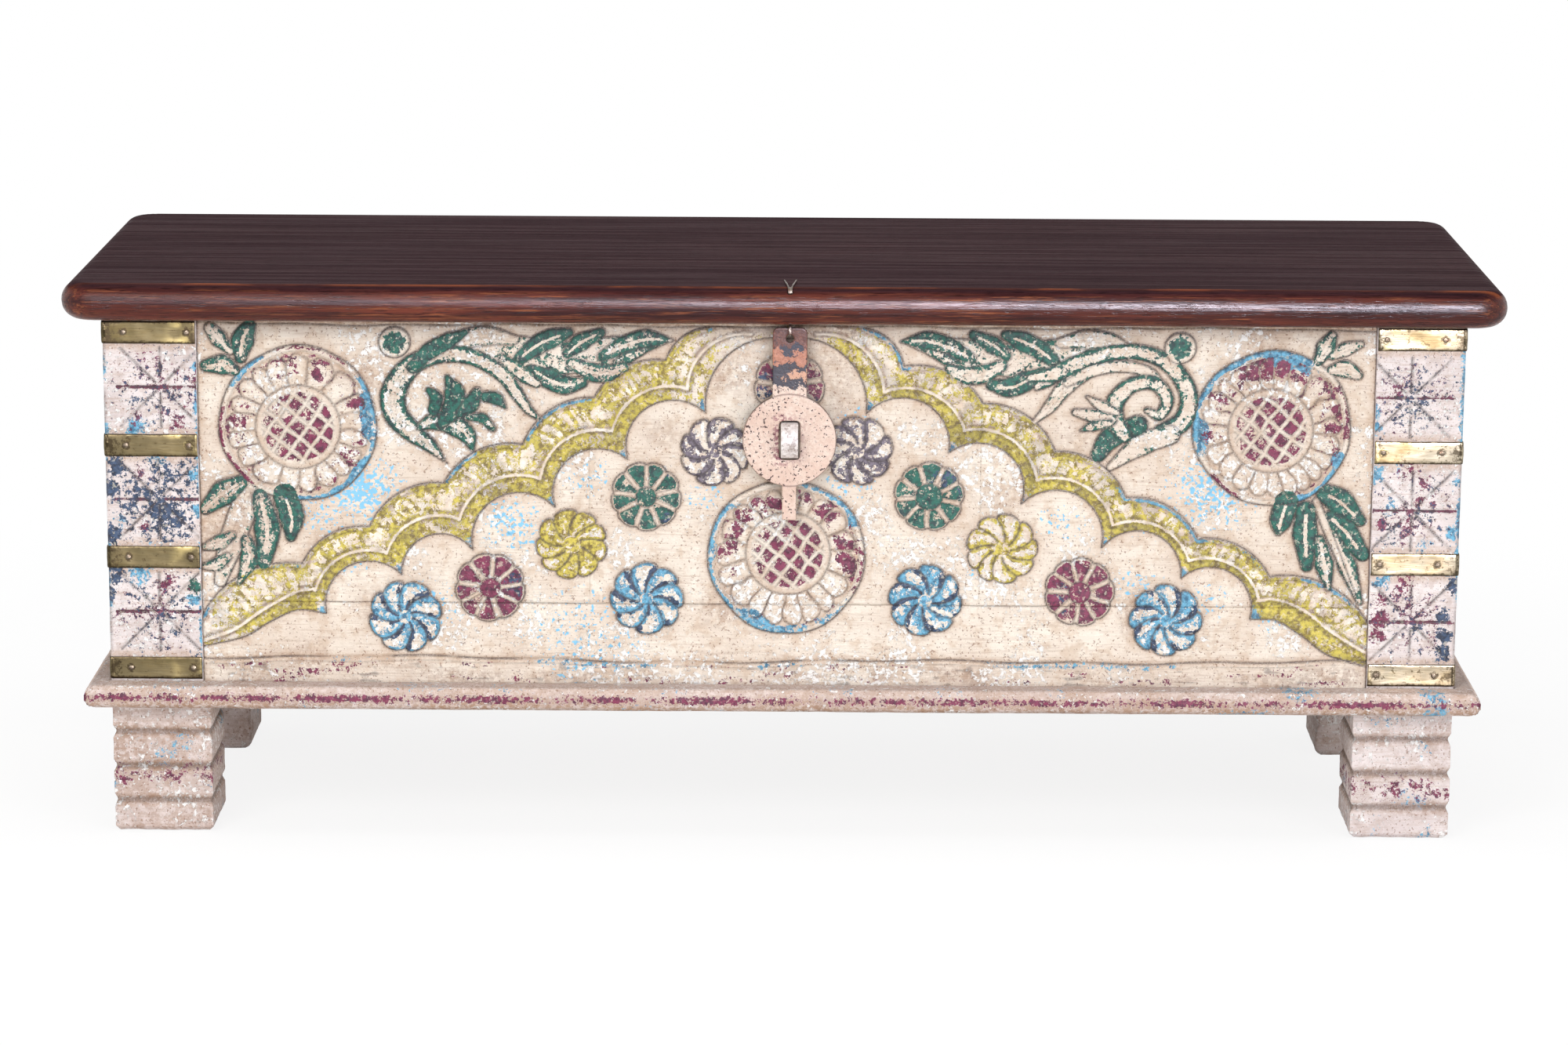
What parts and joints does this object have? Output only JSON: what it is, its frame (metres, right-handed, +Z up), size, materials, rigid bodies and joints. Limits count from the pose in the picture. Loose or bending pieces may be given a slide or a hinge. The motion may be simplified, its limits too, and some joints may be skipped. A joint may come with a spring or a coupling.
{
  "type": "damchiya chest",
  "caption": "Low carved and painted storage chest on square notched feet, with an overhanging hinged lid, brass corner straps and a hasp that closes over a staple.",
  "frame": {"origin": "on the floor under the middle of the lid", "axes": "+X along the chest to the right, -Y out of the carved front, +Z up"},
  "size_m": [1.16, 0.4, 0.4621],
  "materials": {
    "painted_wood": "worn cream paint over brown wood",
    "carved_wood": "carved relief with rubbed cream, teal, plum, blue and olive paint",
    "plain_wood": "bare brown wood",
    "dark_lid_wood": "dark reddish brown stain with a soft sheen",
    "strap_brass": "dented sheet brass, dull in places",
    "nail_brass": "hammered heads",
    "dark_iron": "dark forged iron",
    "bright_iron": "rubbed iron wire",
    "painted_iron": "chipped brown, orange, navy and beige paint"
  },
  "bodies": {
    "chest": {"front_left_post": "painted_wood", "front_right_post": "painted_wood", "back_left_post": "painted_wood", "back_right_post": "painted_wood", "front_board_lower": "carved_wood", "front_board_upper": "carved_wood", "back_board_lower": "plain_wood", "back_board_upper": "plain_wood", "left_side_board_lower": "painted_wood", "left_side_board_upper": "painted_wood", "right_side_board_lower": "painted_wood", "right_side_board_upper": "painted_wood", "floor_board_front": "plain_wood", "floor_board_middle_front": "plain_wood", "floor_board_middle_back": "plain_wood", "floor_board_back": "plain_wood", "floor_bearer_front": "plain_wood", "floor_bearer_back": "plain_wood", "floor_bearer_left": "plain_wood", "floor_bearer_right": "plain_wood", "base_moulding_front": "painted_wood", "base_moulding_right": "painted_wood", "base_moulding_back": "painted_wood", "base_moulding_left": "painted_wood", "left_corner_straps": "strap_brass", "right_corner_straps": "strap_brass", "left_strap_nails": "nail_brass", "right_strap_nails": "nail_brass", "lock_staple": "dark_iron", "left_hinge_body_leaf": "dark_iron", "right_hinge_body_leaf": "dark_iron", "left_hinge_pin": "dark_iron", "right_hinge_pin": "dark_iron", "hinge_nails_body": "dark_iron"},
    "lid": {"lid_board": "dark_lid_wood", "lid_batten_left": "plain_wood", "lid_batten_middle": "plain_wood", "lid_batten_right": "plain_wood", "batten_nails": "dark_iron", "left_hinge_lid_leaf": "dark_iron", "right_hinge_lid_leaf": "dark_iron", "hinge_nails_lid": "dark_iron", "hasp_split_pin": "bright_iron"},
    "hasp_body": {"hasp": "painted_iron"}
  },
  "joints": [
    {"name": "lid_hinge", "type": "hinge", "parent": "chest", "child": "lid", "pos_m": [0, 0.1745, 0.4277], "axis": [-1, 0, 0], "range_deg": [0, 108]},
    {"name": "hasp_swing", "type": "hinge", "parent": "lid", "child": "hasp_body", "pos_m": [0.005, -0.179, 0.4233], "axis": [-1, 0, 0], "range_deg": [0, 110]}
  ]
}
